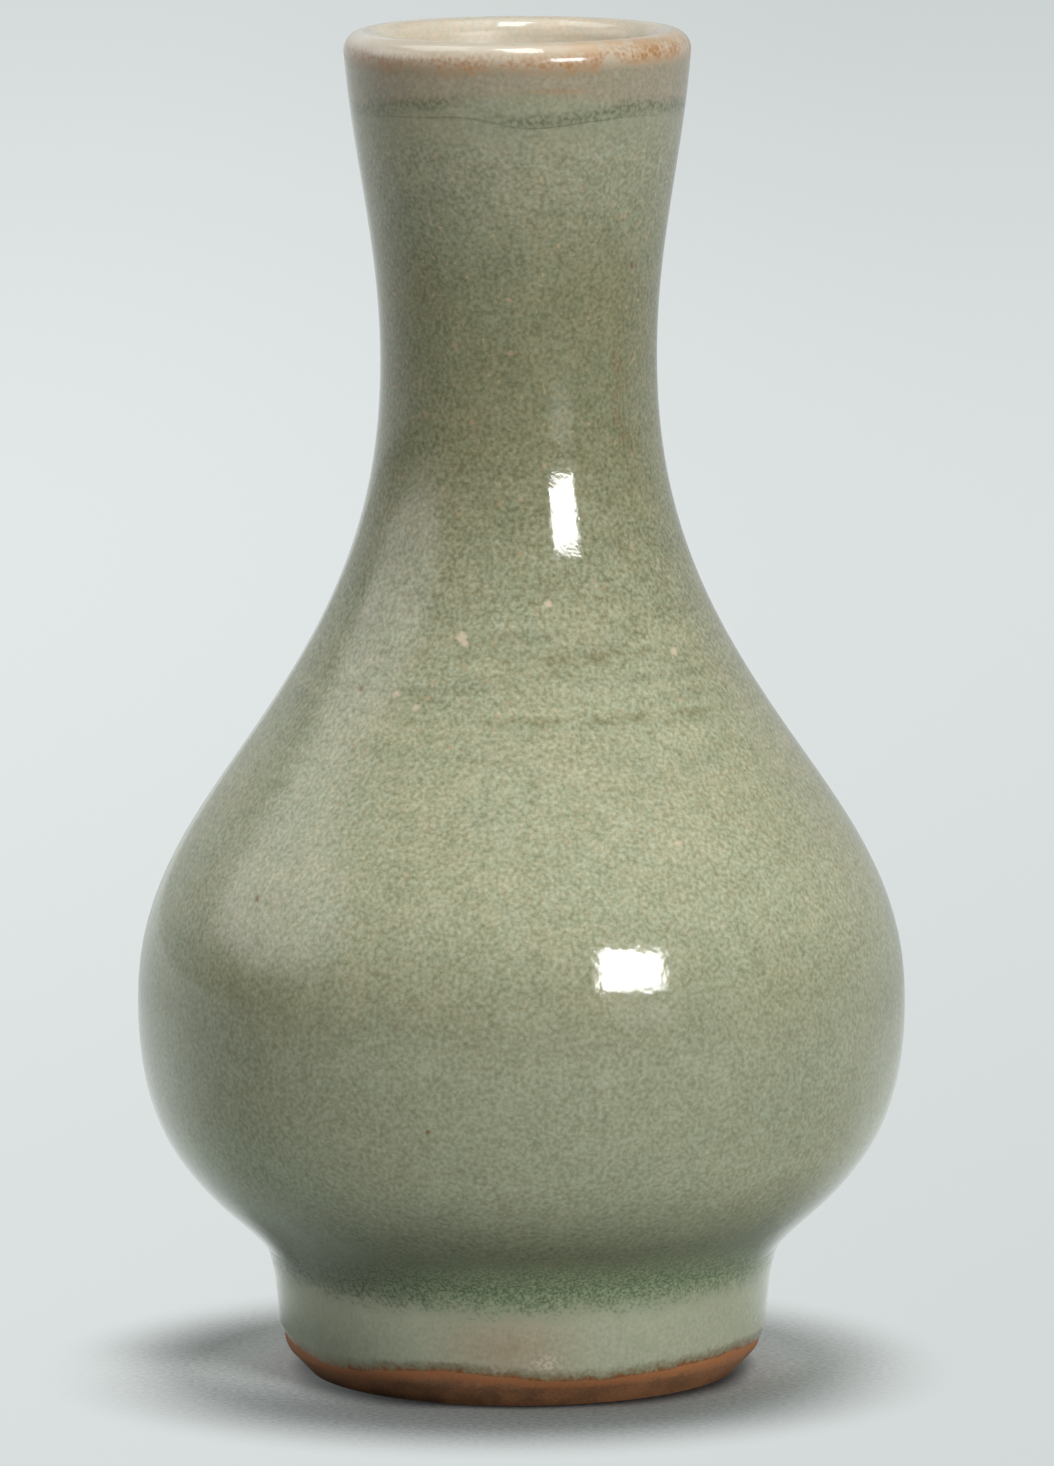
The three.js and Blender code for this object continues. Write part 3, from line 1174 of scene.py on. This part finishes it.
bare_clay, shader, place = new_finish("bare_clay")
angle, height = angle_and_height(place)
grit = place.noise(0.35, 4, 0.7)
blotches = place.noise(3, 3, 0.6)
clay = (blotches * 0.6 + grit * 0.4).smooth(0.38, 0.62).mix(CLAY_DARK, CLAY_BROWN)
clay = above_glaze_edge(place, angle, height).smooth(-0.9, -0.1).mix(clay, CLAY_ORANGE)
# Painted light: the bare clay is painted lighter towards the right front.
painted_light_right = 0.9 + angle.smooth(10, 45) * 0.2
finish_with(shader, clay.scaled(painted_light_right + grit * 0.4), 0.7, [(grit, 0.08)])

stoneware, shader, place = new_finish("stoneware")
grit = place.noise(0.4, 4, 0.7)
finish_with(shader, grit.mix(colour(170, 156, 136), colour(192, 180, 160)), 0.85, [(grit, 0.06)])

luting_slip, shader, place = new_finish("luting_slip")
grit = place.noise(0.3, 4, 0.7)
finish_with(shader, grit.mix(colour(156, 140, 118), colour(176, 160, 138)), 0.9, [(grit, 0.04)])
print("clays:", bare_clay.name, stoneware.name, luting_slip.name)

# %% [markdown]
# ## Hand the pieces to the frame
#
# Each piece gets its finish, rides on the one body that the vase has, and stands for its node. The
# record's slot for its material is listed with it.

# %% Finish, body, node and slot of each piece
hand_over = [
    (foot_ring, bare_clay, "foot_ring", "bare_clay"),
    (foot_slip, luting_slip, "foot_joint_slip", "luting_slip"),
    (lower_belly, stoneware, "lower_belly", "stoneware"),
    (belly_slip, luting_slip, "belly_joint_slip", "luting_slip"),
    (upper_belly, stoneware, "upper_belly", "stoneware"),
    (shoulder_slip, luting_slip, "shoulder_joint_slip", "luting_slip"),
    (neck_piece, stoneware, "neck", "stoneware"),
    (first_coat, thin_glaze, "first_glaze_coat", "thin_glaze"),
    (second_coat, celadon, "second_glaze_coat", "celadon_glaze"),
    (inside_coat, cream, "inside_glaze_coat", "cream_glaze"),
    (base_coat, thin_glaze, "base_glaze_coat", "thin_glaze"),
]
for piece, material, node, slot in hand_over:
    piece.data.materials.clear()
    piece.data.materials.append(material)
    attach(piece, "root")
    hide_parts(node)
print("handed over", len(hand_over), "pieces")

# %% [markdown]
# ## Floor
#
# A wide matt sheet, lit like any paper. The lights cast the shadow, and painted shadow in the sheet's own
# colour deepens it: it is painted darkest in the narrow gap under the foot's chamfer, and a little darker
# in front of the vase and at its left. Farther out at the left, painted shade keeps light from bouncing up.

# %% Floor sheet
FLOOR_RADIUS = 6
PAPER_DARK = colour(204, 209, 209)
PAPER_LIGHT = colour(246, 250, 250)
# Where and how deep the painted shadows in the sheet's colour lie: at the contact, in front, and at the
# left.
PAINTED_CONTACT_FROM = 20.8
PAINTED_CONTACT_WIDTH = 2.4
PAINTED_CONTACT_SHADOW = 0.12
FRONT_PAINTED_SHADOW = 0.5
LEFT_PAINTED_SHADE = 0.45
LEFT_PAINTED_SHADOW = 0.27
LEFT_SHADOW_MIDDLE = (-35, 15, 0)

bpy.ops.object.select_all(action="DESELECT")
bpy.ops.mesh.primitive_circle_add(vertices=96, radius=FLOOR_RADIUS, fill_type="NGON", location=(0, 0, 0))
floor = bpy.context.object
floor.name = "floor"
floor_finish, shader, place = new_finish("floor_sheet")
across, depth, _ = place.axes()
from_axis = place.away_from((0, 0, 0))
paper = place.noise(0.6, 3, 0.7).smooth(0.28, 0.72).mix(PAPER_DARK, PAPER_LIGHT)
# Painted shadow: the sheet is painted darker in front of the vase.
painted_front_shadow = depth.smooth(0, -30) * from_axis.smooth(75, 40)
# Painted shade: far out to the left the sheet is painted darker, so less light bounces onto the vase.
painted_far_left_shade = from_axis.smooth(50, 120) * across.smooth(0, -120) * LEFT_PAINTED_SHADE
# Painted shadow: a patch beside the foot at the left is painted darker.
painted_left_shadow = place.away_from(LEFT_SHADOW_MIDDLE).smooth(17, 4) * LEFT_PAINTED_SHADOW
# Painted contact shadow in the gap under the chamfer, wider at the front left and front right.
painted_shadow_under_chamfer = (across.smooth(-4, -14) * 1.3 + across.smooth(4, 14) * 0.7) * depth.smooth(-4, -14)
beyond_painted_contact_shadow = ((from_axis - PAINTED_CONTACT_FROM) / (painted_shadow_under_chamfer + 1)).smooth(0, PAINTED_CONTACT_WIDTH)
# The sheet's colour is darkened by all these painted shadows.
painted_shade = (1 - painted_front_shadow * FRONT_PAINTED_SHADOW - painted_far_left_shade - painted_left_shadow) * (PAINTED_CONTACT_SHADOW + beyond_painted_contact_shadow * (1 - PAINTED_CONTACT_SHADOW))
finish_with(shader, paper.scaled(painted_shade), 0.9)
shader.inputs["Specular IOR Level"].default_value = 0
print("floor:", FLOOR_RADIUS * 2, "m across")

# %% [markdown]
# ## Pale ground
#
# Every view should have the same pale ground, with no edge of a sheet in sight. So the sheet stays paper
# near the vase, where it keeps the shadow; beside the foot a little glow is mixed in, as painted light that
# makes the shadow paler. Farther out, what the camera and the glossy glaze see of it fades into a pale grey
# glow, a little lighter behind the vase and to its left. The Light Path node tells these rays from the ones
# that carry light, so the glow itself lights nothing.

# %% Pale ground round the shadow
PALE_GREY = colour(216, 222, 221)
SHADOW_MIDDLE = (-2.2, -1.8, 0)
SHADOW_REACH = (28, 46)
GLOSSY_NEAR = 1.1
GLOSSY_FAR = 0.75
GLOSSY_FRONT = 0.2
GLOSSY_LEFT = 0.3
PAINTED_SIDE_LIGHT = 0.13
FAR_GLOW = 0.93


def kinds_of_ray(start):
    """Masks of the rays from the camera and of those from glossy surfaces."""
    return [start.node("ShaderNodeLightPath", output=f"Is {kind} Ray") for kind in ("Camera", "Glossy")]


camera_ray, glossy_ray = kinds_of_ray(place)
behind = (depth / from_axis).smooth(-0.3, 0.7)
near = from_axis.smooth(300, 90) * (GLOSSY_NEAR - GLOSSY_FAR) + across.smooth(0, -200) * GLOSSY_LEFT
glossy_share = GLOSSY_FRONT + behind * (GLOSSY_FAR - GLOSSY_FRONT + near)
uneven = depth.bump_at(600, 1100) * 0.13 - (across.smooth(-90, 90) - 0.5) * 0.08
pool_of_light = uneven * from_axis.smooth(4500, 2000)
strength = camera_ray * (pool_of_light + FAR_GLOW) + glossy_ray * glossy_share
glow_sockets = {0: PALE_GREY[:3], "Scale": strength}
glow_tone = place.node("ShaderNodeVectorMath", {"operation": "SCALE"}, glow_sockets)
glow = place.node("ShaderNodeEmission", None, {"Color": glow_tone})
far = place.away_from(SHADOW_MIDDLE).smooth(*SHADOW_REACH)
# Painted light: beside the foot at left and right a little glow is mixed into the shadow.
beside = across.smooth(0, -22) * depth.smooth(-24, -6) + across.smooth(5, 22) * depth.smooth(-12, 6)
painted_side_light = from_axis.smooth(36, 25) * beside * PAINTED_SIDE_LIGHT
faded = far.math("MAXIMUM", painted_side_light) * camera_ray.math("MAXIMUM", glossy_ray)
floor_net = floor_finish.node_tree
lit_sheet = Wire(floor_net, shader.outputs[0])
sheet = far.node("ShaderNodeMixShader", None, {0: faded, 1: lit_sheet, 2: glow})
floor_net.links.new(sheet.socket, floor_net.nodes["Material Output"].inputs["Surface"])
floor.data.materials.append(floor_finish)
print("shadow fades from %d to %d mm from the vase's axis" % SHADOW_REACH)

# %% [markdown]
# ## Light
#
# A small softbox at the right makes the two window-like highlights on the neck and the belly. A wide light
# overhead gives the shadow under the belly, a smaller one in front of it the glints on the lip, and one
# high at the left lights the shoulder. Two panels have soft edges, so that their reflections fade out on
# the glaze: a large one at the left, and a low one in front at the right. All of it together is about as
# bright as plain daylight on white paper.

# %% Lights
scene = bpy.context.scene
MIDDLE = Vector((0, 0, 0.065))


def area_light(name, place, width, height, brightness):
    """A rectangular light that faces the middle of the vase. Brightness 1 looks white."""
    bpy.ops.object.light_add(type="AREA", location=place)
    lamp = bpy.context.object
    lamp.name = name
    lamp.rotation_euler = (MIDDLE - Vector(place)).to_track_quat("-Z", "Y").to_euler()
    lamp.data.shape = "RECTANGLE"
    lamp.data.size = width
    lamp.data.size_y = height
    lamp.data.energy = brightness * math.pi * width * height
    lamp.visible_camera = False
    return lamp


def soften(lamp):
    """Let a light fade at its edges."""
    lamp.data.use_nodes = True
    net = lamp.data.node_tree
    spread = Wire(net, None).node("ShaderNodeNewGeometry", output="Parametric")
    across, along, _ = spread.axes()
    fade = (across.bump_at(0.5, 0.5) * along.bump_at(0.5, 0.5)).smooth(0, 0.6)
    net.links.new(fade.socket, net.nodes["Emission"].inputs["Strength"])


softbox = area_light("softbox", (0.442, -0.648, 0.34), 0.275, 0.207, 20)
softbox.rotation_euler.rotate_axis("Z", math.radians(-7))
area_light("overhead", (0, 0, 0.9), 0.7, 0.7, 0.7)
area_light("ceiling", (0.03, -0.165, 0.88), 0.2, 0.45, 7.2)
area_light("upper_left", (-0.42, 0.15, 0.9), 0.5, 0.4, 1.7)
soften(area_light("left_panel", (-0.639, 0, 0.37), 1.08, 0.64, 1.25))
soften(area_light("low_front", (0.4, -0.58, 0.1), 0.38, 0.17, 0.9))
print("lights:", sum(thing.type == "LIGHT" for thing in scene.objects))

# %% [markdown]
# ## Pale sweep
#
# In a studio, a sheet of paper curves up behind the pot and lights its edges. A bent plane could stand in
# for it, but the world does the same with no edge that could show: it is lighter towards the back, and the
# camera sees it in the tone of the far floor.

# %% Pale sweep behind the vase
SWEEP = 0.45
GLOSSY_SWEEP = 0.72

world = bpy.data.worlds.new("room")
world.use_nodes = True
net = world.node_tree
sky = net.nodes["Background"]
direction = Wire(net, None).node("ShaderNodeTexCoord", output="Generated")
_, back, up = direction.axes()
camera_ray, glossy_ray = kinds_of_ray(direction)
sweep = back.smooth(0, 0.85) * (SWEEP + glossy_ray * (up.smooth(0.62, 0.3) * GLOSSY_SWEEP - SWEEP))
net.links.new((camera_ray * FAR_GLOW).math("MAXIMUM", sweep).socket, sky.inputs["Strength"])
sky.inputs["Color"].default_value = PALE_GREY
scene.world = world
scene.view_settings.view_transform = "Standard"
print("world:", world.name)

# %% [markdown]
# ## Camera
#
# The photographer stood well back with a long lens, a little above the vase. The vase fills the frame, so
# the lens follows from its distance and from the height of the picture.

# %% Camera
CAMERA_BACK = 1.17
CAMERA_HEIGHT = 0.2318
CAMERA_SIDE = 0.00065
CAMERA_PITCH = math.radians(8.26)
CAMERA_ROLL = math.radians(-0.25)
PHOTO_HEIGHT = 1466
FOCAL_PIXELS = 12251
SENSOR = 36

bpy.ops.object.camera_add(location=(CAMERA_SIDE, -CAMERA_BACK, CAMERA_HEIGHT))
camera = bpy.context.object
aim = Matrix.Rotation(math.pi / 2 - CAMERA_PITCH, 3, "X") @ Matrix.Rotation(CAMERA_ROLL, 3, "Z")
camera.rotation_euler = aim.to_euler()
camera.data.sensor_fit = "VERTICAL"
camera.data.sensor_height = SENSOR
camera.data.lens = FOCAL_PIXELS / PHOTO_HEIGHT * SENSOR
camera.data.clip_end = 50
scene.camera = camera
print("lens: %.0f mm" % camera.data.lens)

# %% [markdown]
